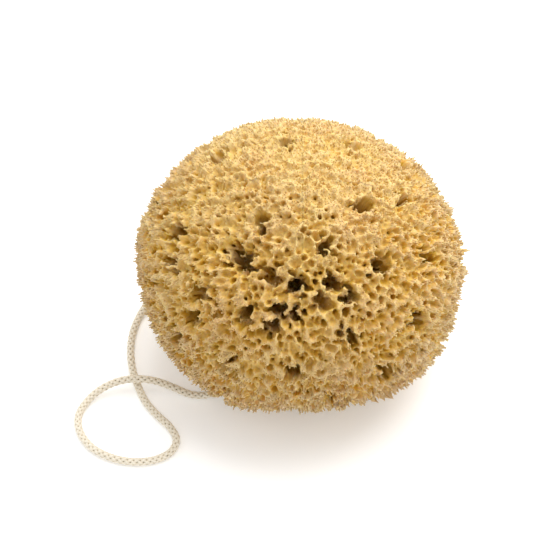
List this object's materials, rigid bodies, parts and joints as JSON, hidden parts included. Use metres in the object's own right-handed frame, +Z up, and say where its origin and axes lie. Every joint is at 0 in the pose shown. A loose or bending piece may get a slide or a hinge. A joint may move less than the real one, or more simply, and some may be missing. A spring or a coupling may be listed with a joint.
{
  "type": "natural sea sponge with cord loop",
  "caption": "Domed natural bath sponge with deep pores and a tufted skin, cut flat underneath, with a loop of white cotton cord threaded into its side.",
  "frame": {"origin": "on the surface the sponge rests on, under the middle of the sponge's own bounding box, without the cord", "axes": "+Z up, from the flat root cut through the dome; -Y towards the fullest face with the largest pores; +X to the right of that face, so the cord lies towards -X"},
  "size_m": [0.1517, 0.1248, 0.0936],
  "materials": {
    "spongin": "dry, matte, fibrous skeleton of a natural sponge",
    "cotton_cord": "matte braided cotton"
  },
  "bodies": {
    "root": {"sponge": "spongin", "cord_loop": "cotton_cord"}
  },
  "joints": []
}
